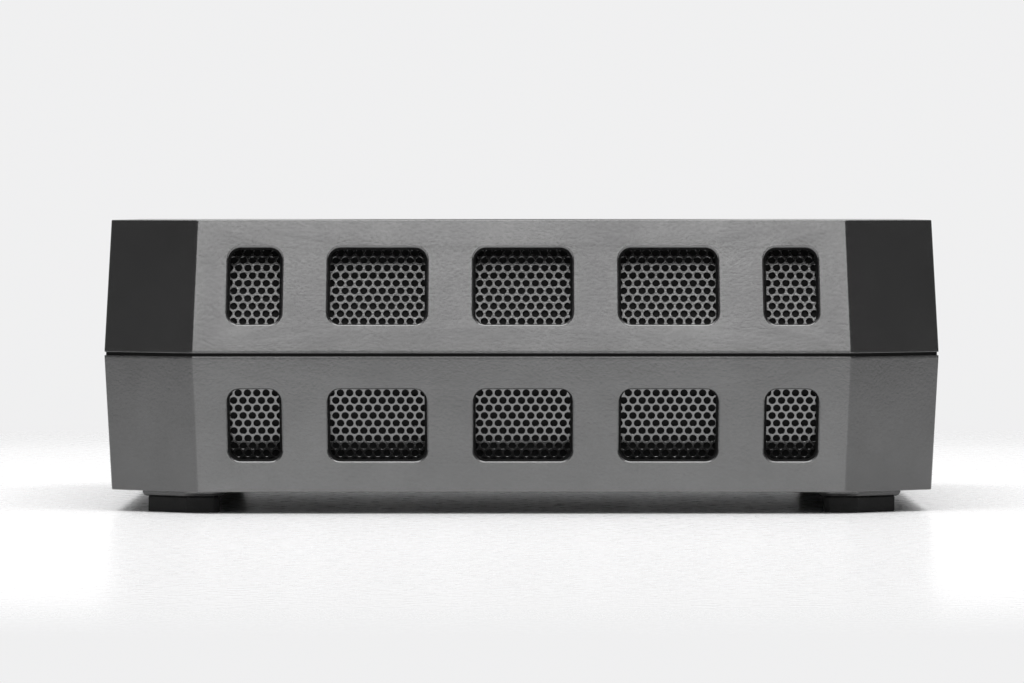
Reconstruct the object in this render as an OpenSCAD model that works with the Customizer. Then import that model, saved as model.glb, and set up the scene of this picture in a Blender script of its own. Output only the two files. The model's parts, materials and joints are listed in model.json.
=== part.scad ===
// Octagonal mini PC, millimetres. Z = 0 is the table, +Z is up, the front face looks along -Y
// and the right side looks along +X. Two tapered shells meet at a thin waist band.

/* [Body] */
// Width across the waist, left to right
body_w = 188; // [186:0.5:192]
// Depth across the waist, front to back
body_d = 177.1; // [176.9:0.1:182]
// Overall height with the feet
body_h = 61.8; // [61.4:0.1:63]
// Ground clearance, which is the height of a foot
foot_h = 4.55; // [4.2:0.05:4.8]
// Height of the waist above the table
waist_z = 33.1; // [32.8:0.1:33.3]
// Thickness of the waist band
waist_t = 0.7; // [0.6:0.1:1.2]
// Leg of the corner chamfers at the waist
chamfer = 19.2; // [18:0.1:21]
// Size of the top and bottom outlines against the waist
taper = 0.983; // [0.98:0.001:0.986]
// Wall thickness of both shells
wall = 2; // [1.8:0.1:2.2]

/* [Windows] */
// Width of the three wide windows
win_wide = 21.6; // [20:0.1:22]
// Width of the two narrow end windows
win_narrow = 11.9; // [11:0.1:12.4]
// Pitch of the wide windows
win_pitch = 30.6; // [30:0.1:31.2]
// Distance from the middle to a narrow window
win_end = 56.4; // [56:0.1:57.2]
// Distance that the rows of windows sit off the middle, towards the right as seen from outside
win_shift = 0.3; // [0:0.1:0.5]
// Height of an upper window
win_up_h = 17; // [15.5:0.1:17.2]
// Height of a lower window
win_low_h = 16.1; // [15.5:0.1:16.6]
// Middle height of the upper windows
win_up_z = 47.8; // [47.4:0.05:48]
// Middle height of the lower windows
win_low_z = 18.6; // [18.3:0.05:18.8]
// Corner radius of a window
win_r = 2.6; // [2:0.1:3]

/* [Perforated sheets] */
// Distance between neighbouring holes
hole_pitch = 1.955; // [1.9:0.005:2.1]
// Diameter of a hole
hole_d = 1.5; // [1.3:0.01:1.54]
// Thickness of a sheet
sheet_t = 0.4; // [0.4:0.1:0.8]
// Tilt of a sheet from upright
sheet_tilt = 18.6; // [18:0.1:21]

/* [Feet] */
// Length of a foot bracket along the chamfer
foot_l = 22; // [20:0.5:24]
// Width of a foot bracket
foot_w = 12; // [11:0.5:13]
// Height of the rubber pad
pad_h = 3.3; // [3:0.1:3.6]

/* [Fan] */
// Side of the square fan frame
fan_size = 92; // [90:1:92]
// Height of the fan frame
fan_h = 15; // [15:0.5:15.5]
// Number of fan blades
blades = 9; // [7:1:11]

/* [Buttons] */
// Radius of the power button
button_r = 6; // [5.5:0.1:6.2]
// Travel of the power button
button_travel = 0.6; // [0.4:0.1:0.6]
// Radius of the reset plunger
reset_r = 1.5; // [1.2:0.1:1.6]

/* [Hidden] */

$fn = 48;
eps = 0.01;

// Shell heights
roof_z = waist_z + waist_t;
floor_top = foot_h + wall;
ceiling_z = body_h - wall;
band_inset = 0.3;
band_depth = 2.7;

// Case screws stand in from the sides
case_x = 78;
case_y = 56;
post_r = 3.5;
screw_clear_r = 1.7;
insert_r = 2.3;
insert_h = 5;
m3_r = 1.5;
m25_r = 1.25;

// Underside mount: four M4 holes in a 75 mm square
vesa = 75;
vesa_r = 2.05;
vesa_boss_h = 3;

// Sheets start this far behind the outer face, at this distance above or below the waist
sheet_gap = 2.1;
sheet_start = 4.7;
sheet_rise = 20.4;
hole_first_up = 2;
hole_first_low = 1.45;
sheet_span = 64.4;
rib_t = 1.5;

// Motherboard
pcb_t = 1.6;
pcb_x = 70;
pcb_front = -63;
pcb_back = 84;
pcb_z = 12;
pcb_top = pcb_z + pcb_t;
stand_x = 65;
stand_front = -57;
stand_back = 46;
stand_r = 2.6;

// Front board and the line that the front sockets share
front_pcb_z = 16;
front_pcb_t = 1.2;
front_pcb_top = front_pcb_z + front_pcb_t;
front_pcb_x = 46;
front_pcb_back = -66;
front_pcb_front = -82.2;
front_stand_x = 43;
front_stand_y = -70;
front_z = 20.05;
front_face_y = -87.3;
bezel_back_y = -84.4;
bezel_x = 50;
bezel_half_h = 7.6;
button_x = 36;
stem_end = 82;
stem_gap = 0.2;
jack_x = -38;
usb_c_x = -23;
front_usb_x = [-5, 15];

// Rear sockets
rear_face_y = 86.6;
plate_y = 84.4;
plate_t = 0.7;
rear_open_x = 69.5;
rear_open_low = 12.2;
rear_open_high = 31;
dc_x = -62;
rear_usb_x = [-43, 53];
hdmi_x = -23;
dp_x = -3;
lan_x = [17, 35];
reset_x = 65.5;
reset_switch_y = 82.3;
reset_gap = 0.4;
reset_z = 21;

// Cooler stack
plate_z = pcb_top + 1.8;
plate_h = 3;
pipe_z = plate_z + plate_h;
pipe_h = 4;
fin_z = pipe_z + pipe_h;
fan_z = 41.5;
fan_top = fan_z + fan_h;
fan_bore_r = 44;
fan_hole = 41.25;
hub_r = 17;
shaft_r = 1.5;
bearing_in_r = 1.53;
bearing_out_r = 3;
cool_x = 16;
cool_y = 26;
grille_r = 48;
grille_z = 60.6;
grille_t = 1;

// Parts on the motherboard
ram_x = 36;
ram_len = 69.6;
ram_depth = 30;
ram_z = 16;
ssd_y = -51;
ssd_z = 15.6;
ssd_end = 38.6;
radio_x = -28;
radio_y = 48;
radio_len = 29;
cell_x = 47;
cell_y = 49.5;

// Colours
shell_grey = [0.27, 0.27, 0.27];
near_black = [0.06, 0.06, 0.06];
steel = [0.7, 0.7, 0.72];
brass = [0.8, 0.65, 0.3];
copper = [0.8, 0.45, 0.3];
board_green = [0.05, 0.2, 0.12];

// Scale of the outline at height z: 1 at the waist, taper at the top and the bottom
function body_scale(z) =
  z <= waist_z
    ? taper + (1 - taper) * (z - foot_h) / (waist_z - foot_h)
    : 1 - (1 - taper) * max(0, z - roof_z) / (body_h - roof_z);

// Corners of the eight-sided outline, moved in by inset and scaled by s
function outline(inset, s) =
  let (
    a = body_w / 2 - inset,
    b = body_d / 2 - inset,
    c = chamfer - inset * (2 - sqrt(2))
  )
  s * [
    [a, c - b], [a, b - c], [a - c, b], [c - a, b],
    [-a, b - c], [-a, c - b], [c - a, -b], [a - c, -b]
  ];

// Solid between two outlines at different heights
module frustum(inset, z0, s0, z1, s1) {
  low = outline(inset, s0);
  high = outline(inset, s1);
  points = concat([for (p = low) [p[0], p[1], z0]], [for (p = high) [p[0], p[1], z1]]);
  sides = [for (i = [0:7]) [i, i + 8, (i + 1) % 8 + 8, (i + 1) % 8]];
  polyhedron(points, concat([[for (i = [0:7]) i]], [[for (i = [15:-1:8]) i]], sides));
}

// Rectangle w by h with round corners, extruded by t, centred on its axis
module rounded_block(w, h, t, r) {
  linear_extrude(t)
    union() {
      square([w - 2 * r, h], center = true);
      square([w, h - 2 * r], center = true);
      for (x = [-1, 1], y = [-1, 1])
        translate([x * (w / 2 - r), y * (h / 2 - r)])
          circle(r);
    }
}

// Block from its low corner to its high corner
module block(low, high) {
  translate(low)
    cube(high - low);
}

// Turns a child drawn facing +Z so that it faces +X, with its own X along Y and its Y up
module face_right() {
  rotate([90, 0, 90])
    children();
}

// Turns a child drawn facing +Z so that it faces -Y, with its own Y up
module face_front() {
  rotate([90, 0, 0])
    children();
}

// Places a child at each of the four corners of a rectangle
module at_corners(x, y) {
  for (i = [-1, 1], j = [-1, 1])
    translate([i * x, j * y, 0])
      children();
}

// Row of five windows through the wall of the right side. stretch widens the row for the front.
module window_row(h, z, reach, stretch) {
  for (i = [-2:2]) {
    w = abs(i) == 2 ? win_narrow : win_wide;
    y = abs(i) == 2 ? sign(i) * win_end : i * win_pitch;
    translate([reach - 6, y * stretch + win_shift, z])
      face_right()
        rounded_block(w * stretch, h, 10, win_r);
  }
}

// Perforated sheet for one row of windows, flat, its foot on the X axis and rising along Y.
// Rows of holes alternate by half a pitch, and only the stretches behind windows have holes.
module flat_sheet(span, h, stretch, first_row) {
  row_step = hole_pitch * sin(60);
  rows = floor((h + 1.4) / cos(sheet_tilt) / row_step);
  length = sheet_rise / cos(sheet_tilt);
  linear_extrude(sheet_t)
    difference() {
      translate([-span, 0])
        square([2 * span, length]);
      for (r = [0:rows - 1], i = [-2:2]) {
        w = (abs(i) == 2 ? win_narrow : win_wide) * stretch;
        x = (abs(i) == 2 ? sign(i) * win_end : i * win_pitch) * stretch + win_shift;
        shift = (r % 2) / 2;
        first = ceil((x - w / 2) / hole_pitch - shift - 0.2);
        last = floor((x + w / 2) / hole_pitch - shift + 0.2);
        for (k = [first:last])
          translate([(k + shift) * hole_pitch, first_row + r * row_step])
            circle(d = hole_d, $fn = 16);
      }
    }
}

// Sheet of the upper right side, tilted in towards its top, at half-width reach
module tilted_sheet(reach, span, h, stretch, first_row) {
  z = roof_z + sheet_start;
  translate([reach * body_scale(z) - sheet_gap, 0, z])
    rotate([0, -sheet_tilt, 0])
      face_right()
        mirror([0, 0, 1])
          flat_sheet(span, h, stretch, first_row);
}

// Pair of ribs that hold the ends of an upper right sheet
module sheet_ribs(reach, span) {
  z0 = roof_z + 2;
  z1 = ceiling_z + eps;
  x0 = reach * body_scale(z0) - wall + 0.4;
  x1 = reach * body_scale(z1) - wall + 0.4;
  for (side = [-1, 1])
    translate([0, side * (span + rib_t / 2) + rib_t / 2, 0])
      rotate([90, 0, 0])
        linear_extrude(rib_t)
          polygon([[x0, z0], [x1, z1], [x1 - 9, z1], [x0 - 2.4, z0]]);
}

// Mirrors an upper child about the middle of the waist
module below_waist() {
  translate([0, 0, 2 * waist_z + waist_t])
    mirror([0, 0, 1])
      children();
}

// Front and rear rows are this much wider than the side rows
function end_stretch() = (body_w - 2 * chamfer) / (body_d - 2 * chamfer);

// Screw with its head up, its underside of head at the origin and a hexagonal recess
module screw(head_r, head_h, shaft_r, length) {
  difference() {
    union() {
      cylinder(r = head_r, h = head_h);
      translate([0, 0, -length])
        cylinder(r = shaft_r, h = length + eps);
    }
    translate([0, 0, head_h * 0.4])
      cylinder(r = head_r * 0.5, h = head_h, $fn = 6);
  }
}

module lower_shell() {
  color(shell_grey)
    difference() {
      union() {
        difference() {
          frustum(0, foot_h, taper, waist_z, 1);
          frustum(wall, floor_top, body_scale(floor_top), waist_z + 1, 1.0006);
        }
        for (turn = [0, 180])
          rotate([0, 0, turn])
            below_waist()
              sheet_ribs(body_w / 2, sheet_span);
        at_corners(case_x, case_y)
          translate([0, 0, foot_h + eps])
            cylinder(r = post_r, h = waist_z - foot_h - eps);
        at_corners(vesa / 2, vesa / 2)
          translate([0, 0, foot_h + eps])
            cylinder(r = post_r + 0.5, h = wall + vesa_boss_h);
        for (x = [-1, 1])
          translate([x * front_stand_x, front_stand_y, foot_h + eps])
            cylinder(r = 3, h = front_pcb_z - foot_h - eps);
      }
      for (turn = [0, 180])
        rotate([0, 0, turn])
          window_row(win_low_h, win_low_z, body_w / 2, 1);
      at_corners(case_x, case_y) {
        translate([0, 0, foot_h - 1])
          cylinder(r = screw_clear_r, h = body_h);
        translate([0, 0, foot_h - eps])
          cylinder(r = 3.1, h = 2);
      }
      at_corners(vesa / 2, vesa / 2)
        translate([0, 0, foot_h - 1])
          cylinder(r = vesa_r, h = 8);
      for (x = [-1, 1])
        translate([x * front_stand_x, front_stand_y, front_pcb_z - 6])
          cylinder(r = m25_r + 0.02, h = 8);
      // rear opening for the sockets
      translate([0, rear_face_y + 6, (rear_open_low + rear_open_high) / 2])
        face_front()
          rounded_block(2 * rear_open_x, rear_open_high - rear_open_low, 12, 1.5);
      // front opening for the bezel
      translate([0, front_face_y + 6, front_z])
        face_front()
          rounded_block(2 * bezel_x + 0.3, 2 * bezel_half_h + 0.3, 12, win_r + 0.15);
      // intake slots in the floor
      for (i = [-4:4])
        translate([i * 6, 0, foot_h - 1])
          rounded_block(3, 44, 4, 1.45);
    }
}

module upper_shell() {
  color(shell_grey)
    difference() {
      union() {
        difference() {
          frustum(0, roof_z, 1, body_h, taper);
          frustum(wall, roof_z - 1, 1.0006, ceiling_z, body_scale(ceiling_z));
        }
        for (turn = [0, 180])
          rotate([0, 0, turn])
            sheet_ribs(body_w / 2, sheet_span);
        for (turn = [90, -90])
          rotate([0, 0, turn])
            sheet_ribs(body_d / 2, sheet_span * end_stretch());
        at_corners(case_x, case_y)
          translate([0, 0, roof_z])
            cylinder(r = post_r, h = body_h - roof_z - eps);
      }
      for (turn = [0, 180])
        rotate([0, 0, turn])
          window_row(win_up_h, win_up_z, body_w / 2, 1);
      for (turn = [90, -90])
        rotate([0, 0, turn])
          window_row(win_up_h, win_up_z, body_d / 2, end_stretch());
      at_corners(case_x, case_y) {
        translate([0, 0, roof_z - eps])
          cylinder(r = insert_r, h = insert_h + eps);
        translate([0, 0, roof_z])
          cylinder(r = screw_clear_r, h = insert_h + 3);
      }
      // round air inlet over the fan, with a seat for the grille
      translate([0, 0, ceiling_z - 1])
        cylinder(r = grille_r - 3, h = wall + 2, $fn = 96);
      translate([0, 0, grille_z])
        cylinder(r = grille_r, h = wall, $fn = 96);
    }
}

module waist_band() {
  color(near_black)
    difference() {
      translate([0, 0, waist_z])
        linear_extrude(waist_t)
          polygon(outline(band_inset, 1));
      translate([0, 0, waist_z - 1])
        linear_extrude(waist_t + 2)
          polygon(outline(band_inset + band_depth, 1));
    }
}

// Round honeycomb cover of the air inlet
module fan_grille() {
  cell = 5.6;
  web = 0.9;
  reach = 8;
  color(near_black)
    translate([0, 0, grille_z])
      linear_extrude(grille_t)
        difference() {
          circle(grille_r - 0.15, $fn = 96);
          for (i = [-reach:reach], j = [-reach:reach]) {
            x = cell * (i + j / 2);
            y = cell * j * sin(60);
            if (norm([x, y]) < grille_r - 6.5)
              translate([x, y])
                rotate(30)
                  circle((cell - web) / sqrt(3), $fn = 6);
          }
        }
}

module side_mesh_upper_right() {
  color(shell_grey)
    tilted_sheet(body_w / 2, sheet_span, win_up_h, 1, hole_first_up);
}

module side_mesh_upper_left() {
  rotate([0, 0, 180])
    side_mesh_upper_right();
}

module side_mesh_lower_right() {
  color(shell_grey)
    below_waist()
      tilted_sheet(body_w / 2, sheet_span, win_low_h, 1, hole_first_low);
}

module side_mesh_lower_left() {
  rotate([0, 0, 180])
    side_mesh_lower_right();
}

module rear_mesh() {
  color(shell_grey)
    rotate([0, 0, 90])
      tilted_sheet(body_d / 2, sheet_span * end_stretch(), win_up_h, end_stretch(), hole_first_up);
}

module front_mesh() {
  rotate([0, 0, 180])
    rear_mesh();
}

// Bar with cut corners along a corner chamfer, l by w, from z = 0 to h
module foot_bar(l, w, cut, h) {
  reach = 105;
  shift = (body_w - body_d) / 2 / sqrt(2);
  for (i = [0, 1], j = [0, 1])
    mirror([i, 0, 0])
      mirror([0, j, 0])
        rotate([0, 0, 45])
          translate([reach, -shift * taper, 0])
            linear_extrude(h)
              polygon([
                [w / 2, cut - l / 2], [w / 2, l / 2 - cut], [w / 2 - cut, l / 2], [cut - w / 2, l / 2],
                [-w / 2, l / 2 - cut], [-w / 2, cut - l / 2], [cut - w / 2, -l / 2], [w / 2 - cut, -l / 2]
              ]);
}

module foot_brackets() {
  color(shell_grey)
    translate([0, 0, pad_h])
      foot_bar(foot_l, foot_w, 4.5, foot_h - pad_h);
}

module rubber_feet() {
  color(near_black)
    foot_bar(foot_l - 2, foot_w - 2, 4.25, pad_h);
}

module case_screws() {
  color(steel)
    at_corners(case_x, case_y)
      translate([0, 0, foot_h + 2])
        mirror([0, 0, 1])
          screw(2.8, 1.7, m3_r, roof_z + insert_h + 1 - foot_h - 2);
}

module case_inserts() {
  color(brass)
    at_corners(case_x, case_y)
      translate([0, 0, roof_z])
        difference() {
          cylinder(r = insert_r, h = insert_h);
          translate([0, 0, -1])
            cylinder(r = m3_r + 0.02, h = insert_h + 2);
        }
}

module front_bezel() {
  color(near_black)
    difference() {
      union() {
        translate([0, bezel_back_y, front_z])
          face_front()
            rounded_block(2 * bezel_x, 2 * bezel_half_h, bezel_back_y - front_face_y, win_r);
        translate([0, bezel_back_y, front_z])
          face_front()
            rounded_block(2 * bezel_x + 4, 2 * bezel_half_h + 4, 0.9, win_r + 1);
      }
      translate([button_x, 0, front_z])
        face_front()
          cylinder(r = button_r + 1.2, h = 100);
      translate([jack_x, 0, front_z])
        face_front()
          cylinder(r = 3.1, h = 100);
      translate([usb_c_x, 0, front_z])
        face_front()
          rounded_block(9.3, 3.5, 100, 1.7);
      for (x = front_usb_x)
        translate([x, 0, front_z])
          face_front()
            rounded_block(13.5, 6.1, 100, 0.5);
    }
}

module power_button() {
  color(shell_grey)
    translate([button_x, 0, front_z])
      face_front() {
        translate([0, 0, 83.4])
          cylinder(r = button_r, h = 4.3);
        translate([0, 0, 83.4])
          cylinder(r = button_r + 1, h = 0.8);
        translate([0, 0, stem_end])
          cylinder(r = 1.8, h = 1.5);
      }
}

module power_light_ring() {
  color([0.85, 0.9, 0.95])
    translate([button_x, bezel_back_y, front_z])
      face_front()
        difference() {
          cylinder(r = button_r + 1.2, h = bezel_back_y - front_face_y);
          translate([0, 0, -1])
            cylinder(r = button_r + 0.08, h = 10);
        }
}

// The switch behind the power button and the one behind the reset plunger
module tact_switches() {
  color(near_black) {
    block([button_x - 3.2, -80, front_pcb_top], [button_x + 3.2, -75.5, front_z + 3.2]);
    translate([button_x, 0, front_z])
      face_front()
        translate([0, 0, 79.9])
          cylinder(r = 1.7, h = stem_end - stem_gap - button_travel - 79.9);
    block([reset_x - 2.9, 76.5, pcb_top], [reset_x + 2.9, 81.3, reset_z + 3.2]);
    translate([reset_x, reset_switch_y, reset_z])
      face_front()
        cylinder(r = 1.2, h = 1.3);
  }
}

module front_io_board() {
  color(board_green)
    difference() {
      block([-front_pcb_x, front_pcb_front, front_pcb_z], [front_pcb_x, front_pcb_back, front_pcb_top]);
      for (x = [-1, 1])
        translate([x * front_stand_x, front_stand_y, front_pcb_z - 1])
          cylinder(r = 1.4, h = 4);
    }
}

// USB-A socket facing +Z, its mouth at the origin and its shell behind it
module usb_a(depth) {
  difference() {
    translate([0, 0, -depth])
      rounded_block(13.1, 5.7, depth, 0.4);
    translate([0, 0, 0.6 - depth])
      rounded_block(12.5, 5.1, depth, 0.3);
  }
  translate([-5.6, 0.05, 0.5 - depth])
    cube([11.2, 1.9, depth - 1.7]);
}

module front_usb(x) {
  color(steel)
    translate([x, front_face_y + 0.2, front_z])
      face_front()
        usb_a(13.2);
}

module front_usb_left() {
  front_usb(front_usb_x[0]);
}

module front_usb_right() {
  front_usb(front_usb_x[1]);
}

module front_usb_c() {
  depth = 9;
  color(steel)
    translate([usb_c_x, front_face_y + 0.2, front_z])
      face_front()
        union() {
          difference() {
            translate([0, 0, -depth])
              rounded_block(8.94, 3.16, depth, 1.57);
            translate([0, 0, 0.6 - depth])
              rounded_block(8.34, 2.56, depth, 1.27);
          }
          translate([-3.3, -0.35, 0.5 - depth])
            cube([6.6, 0.7, depth - 1.5]);
          translate([-4, -2.85, -depth])
            cube([8, 1.6, 5]);
        }
}

module audio_jack() {
  depth = 13;
  color(near_black)
    translate([jack_x, front_face_y + 0.2, front_z])
      face_front()
        difference() {
          union() {
            translate([0, 0, -3])
              cylinder(r = 3, h = 3);
            translate([-3.3, -2.85, -depth])
              cube([6.6, 5.7, depth - 2.9]);
          }
          translate([0, 0, 1 - depth])
            cylinder(r = 1.8, h = depth);
        }
}

// Tube of radius r along route, with eight sides
module tube(route, r) {
  sides = 8;
  last = len(route) - 1;
  function heading(i) = route[min(i + 1, last)] - route[max(i - 1, 0)];
  function ring(i) =
    let (
      d = heading(i) / norm(heading(i)),
      side = cross(d, abs(d[2]) > 0.9 ? [1, 0, 0] : [0, 0, 1]),
      u = side / norm(side),
      v = cross(u, d)
    )
    [for (k = [0:sides - 1]) route[i] + r * (cos(360 * k / sides) * u + sin(360 * k / sides) * v)];
  points = [for (i = [0:last], p = ring(i)) p];
  quads = [
    for (i = [0:last - 1], k = [0:sides - 1])
      [i * sides + k, i * sides + (k + 1) % sides, (i + 1) * sides + (k + 1) % sides, (i + 1) * sides + k]
  ];
  caps = [[for (k = [sides - 1:-1:0]) k], [for (k = [0:sides - 1]) last * sides + k]];
  polyhedron(points, concat(quads, caps));
}

// Points of a smooth curve through corner points, each corner rounded by a quadratic arc
function smooth(route) =
  let (last = len(route) - 1)
  concat(
    [route[0]],
    [
      for (i = [1:last - 1], t = [0:0.25:1])
        let (a = (route[i - 1] + route[i]) / 2, b = (route[i] + route[i + 1]) / 2)
        (1 - t) * (1 - t) * (a * 0.5 + route[i] * 0.5) + 2 * t * (1 - t) * route[i]
          + t * t * (b * 0.5 + route[i] * 0.5)
    ],
    [route[last]]
  );

// Round lead between the two boards
module front_cable() {
  route = [
    [-30, -70, 18.7],
    [-32, -67, 20.2],
    [-43, -65, 20.2],
    [-46, -58, 15.1]
  ];
  color(near_black)
    tube(smooth(route), 1.4);
}

// Lead from the fan's frame down to the main board, beside the cooler
module fan_lead() {
  route = [
    [46.3, -30, 43],
    [48.8, -30.3, 42.8],
    [50.6, -35, 40],
    [51, -42, 30],
    [50, -50, 20],
    [50, -55, 14.9]
  ];
  color(near_black)
    tube(smooth(route), 1.1);
}

module motherboard() {
  color(board_green)
    difference() {
      block([-pcb_x, pcb_front, pcb_z], [pcb_x, pcb_back, pcb_top]);
      for (x = [-1, 1], y = [stand_front, stand_back])
        translate([x * stand_x, y, pcb_z - 1])
          cylinder(r = 1.4, h = 4);
      at_corners(cool_x, cool_y)
        translate([0, 0, pcb_z - 1])
          cylinder(r = 1.4, h = 4);
    }
}

module board_standoffs() {
  color(brass)
    union() {
      for (x = [-1, 1], y = [stand_front, stand_back])
        translate([x * stand_x, y, floor_top])
          difference() {
            cylinder(r = stand_r, h = pcb_z - floor_top, $fn = 6);
            translate([0, 0, 1])
              cylinder(r = m25_r + 0.02, h = 10);
          }
      for (p = [[-ssd_end - 1, ssd_y], [radio_x - radio_len, radio_y]])
        translate([p[0], p[1], pcb_top])
          difference() {
            cylinder(r = 2, h = ssd_z - pcb_top);
            translate([0, 0, 0.4])
              cylinder(r = 0.92, h = 10);
          }
    }
}

module board_screws() {
  color(steel)
    union() {
      for (x = [-1, 1], y = [stand_front, stand_back])
        translate([x * stand_x, y, pcb_top])
          screw(2.5, 1.5, m25_r, 4.6);
      for (x = [-1, 1])
        translate([x * front_stand_x, front_stand_y, front_pcb_top])
          screw(2.3, 1.4, m25_r, 5);
      for (p = [[-ssd_end - 1, ssd_y], [radio_x - radio_len, radio_y]])
        translate([p[0], p[1], ssd_z + 0.8])
          screw(1.9, 0.9, 0.9, 2.2);
    }
}

module processor() {
  color([0.1, 0.25, 0.15])
    union() {
      block([-18.75, -18.75, pcb_top], [18.75, 18.75, pcb_top + 1]);
      block([-9, -8, pcb_top + 0.9], [9, 8, plate_z]);
    }
}

module cold_plate() {
  color(copper)
    difference() {
      block([-20, -30, plate_z], [20, 30, plate_z + plate_h]);
      at_corners(cool_x, cool_y)
        translate([0, 0, plate_z - 1])
          cylinder(r = 1.6, h = plate_h + 2);
    }
}

// Flattened pipes that lie side by side across the cold plate
module heat_pipes() {
  color(copper)
    for (y = [-15, -5, 5, 15])
      translate([-43, y, pipe_z + pipe_h / 2])
        face_right()
          rounded_block(8, pipe_h, 86, pipe_h / 2 - 0.01);
}

module fin_stack() {
  fin_t = 0.5;
  fin_pitch = 2.5;
  count = 36;
  color(steel)
    difference() {
      union() {
        block([-45, -45, fin_z], [45, 45, fin_z + 1]);
        for (i = [0:count - 1])
          translate([(i - (count - 1) / 2) * fin_pitch - fin_t / 2, -45, fin_z])
            cube([fin_t, 90, fan_z - fin_z]);
      }
      at_corners(cool_x, cool_y)
        translate([0, 0, fin_z - 1])
          cylinder(r = 3.2, h = 30);
    }
}

module cooler_screws() {
  color(steel)
    at_corners(cool_x, cool_y)
      translate([0, 0, pipe_z + 2])
        screw(2.8, 1.6, 1.3, pipe_z + 2 - pcb_z + 1.5);
}

// Close-wound springs under the heads of the cooler screws
module cooler_springs() {
  wire = 0.35;
  turns = 3;
  color(steel)
    at_corners(cool_x, cool_y)
      translate([0, 0, pipe_z + wire])
        for (i = [0:turns - 1])
          translate([0, 0, i * (2 - 2 * wire) / (turns - 1)])
            rotate_extrude()
              translate([2.1, 0])
                circle(wire, $fn = 16);
}

module fan_frame() {
  flange = 3;
  color(near_black)
    translate([0, 0, fan_z])
      difference() {
        union() {
          difference() {
            union() {
              rounded_block(fan_size, fan_size, flange, 5);
              translate([0, 0, fan_h - flange])
                rounded_block(fan_size, fan_size, flange, 5);
              cylinder(r = fan_bore_r + 1.6, h = fan_h, $fn = 96);
            }
            translate([0, 0, -1])
              cylinder(r = fan_bore_r, h = fan_h + 2, $fn = 96);
          }
          cylinder(r = 15.5, h = 1.8);
          cylinder(r = 4, h = 11.5);
          for (a = [45:90:315])
            rotate([0, 0, a])
              translate([14, -1.2, 0])
                cube([fan_bore_r - 13.5, 2.4, 1.8]);
        }
        translate([0, 0, 1])
          cylinder(r = bearing_out_r, h = fan_h);
        at_corners(fan_hole, fan_hole)
          translate([0, 0, -1])
            cylinder(r = 2.15, h = fan_h + 2);
      }
}

module fan_stator() {
  color(copper)
    translate([0, 0, fan_z + 3.2])
      difference() {
        cylinder(r = 12.5, h = 6.5);
        translate([0, 0, -1])
          cylinder(r = 4, h = 10);
        for (a = [0:60:300])
          rotate([0, 0, a])
            translate([6, -1, -1])
              cube([10, 2, 10]);
      }
}

module fan_bearing() {
  color(brass)
    translate([0, 0, fan_z + 2])
      difference() {
        cylinder(r = bearing_out_r, h = 9.5);
        translate([0, 0, -1])
          cylinder(r = bearing_in_r, h = 12);
      }
}

module fan_rotor() {
  cup_h = 11.6;
  cup_z = fan_z + 3;
  tip_r = fan_bore_r - 1.2;
  color(near_black)
    translate([0, 0, cup_z])
      union() {
        difference() {
          cylinder(r = hub_r, h = cup_h);
          translate([0, 0, -1])
            cylinder(r = hub_r - 2, h = cup_h - 0.5);
        }
        difference() {
          translate([0, 0, cup_h - 2.4])
            cylinder(r = 3, h = 1.5);
          translate([0, 0, cup_h - 3])
            cylinder(r = shaft_r, h = 2.5);
        }
        intersection() {
          difference() {
            cylinder(r = tip_r, h = cup_h, $fn = 96);
            translate([0, 0, -1])
              cylinder(r = hub_r - 0.8, h = cup_h + 2);
          }
          for (i = [0:blades - 1])
            rotate([0, 0, 360 / blades * i])
              translate([(tip_r + hub_r) / 2, 0, cup_h / 2])
                rotate([38, 0, 0])
                  cube([tip_r - hub_r + 6, 16, 1.3], center = true);
        }
      }
}

module fan_shaft() {
  color(steel)
    translate([0, 0, fan_z + 2.5])
      cylinder(r = shaft_r, h = 10.6);
}

module fan_screws() {
  color(steel)
    at_corners(fan_hole, fan_hole)
      translate([0, 0, fan_top])
        screw(3, 1.6, 2, fan_h - 0.5);
}

// Memory socket of the right side: a contact block and two side arms
module memory_socket_right() {
  half = ram_len / 2;
  outer = ram_x + ram_depth;
  color(near_black)
    union() {
      difference() {
        block([outer - 4.5, -half - 1.5, pcb_top], [outer + 2, half + 1.5, pcb_top + 4.2]);
        block([outer - 5, -half - 0.1, ram_z - 0.1], [outer + 0.1, half + 0.1, ram_z + 1.3]);
      }
      for (y = [-half - 2.2, half + 0.1])
        block([ram_x + 4, y, pcb_top], [outer - 4, y + 2.1, ram_z + 0.9]);
    }
}

module memory_socket_left() {
  mirror([1, 0, 0])
    memory_socket_right();
}

module memory_module_right() {
  half = ram_len / 2;
  color(board_green)
    union() {
      block([ram_x, -half, ram_z], [ram_x + ram_depth, half, ram_z + 1.2]);
      for (i = [0:3])
        block([ram_x + 4, -30 + 16.5 * i, ram_z + 1.1], [ram_x + 14, -18 + 16.5 * i, ram_z + 2.2]);
    }
}

module memory_module_left() {
  mirror([1, 0, 0])
    memory_module_right();
}

// Card edge sockets of the drive and of the radio card
module card_sockets() {
  color(near_black)
    for (p = [[ssd_end, ssd_y], [radio_x, radio_y]])
      translate([p[0], p[1], pcb_top])
        difference() {
          block([-3, -11, 0], [4, 11, 4]);
          block([-4, -11 + 0.5, ssd_z - pcb_top - 0.05], [0.05, 11 - 0.5, ssd_z - pcb_top + 0.85]);
        }
}

// Card with its edge at x = 0 and its screw notch at the far end, with chips on top
module card(length, chips) {
  difference() {
    block([-length, -10.4, 0], [0, 10.4, 0.8]);
    translate([-length, 0, -1])
      cylinder(r = 0.95, h = 4);
  }
  for (c = chips)
    block([c[0], c[1], 0.7], [c[2], c[3], 1.9]);
}

module solid_state_drive() {
  color(board_green)
    translate([ssd_end, ssd_y, ssd_z])
      card(ssd_end + ssd_end + 1, [[-24, -7, -12, 7], [-46, -8, -29, 8], [-70, -8, -52, 8]]);
}

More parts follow.
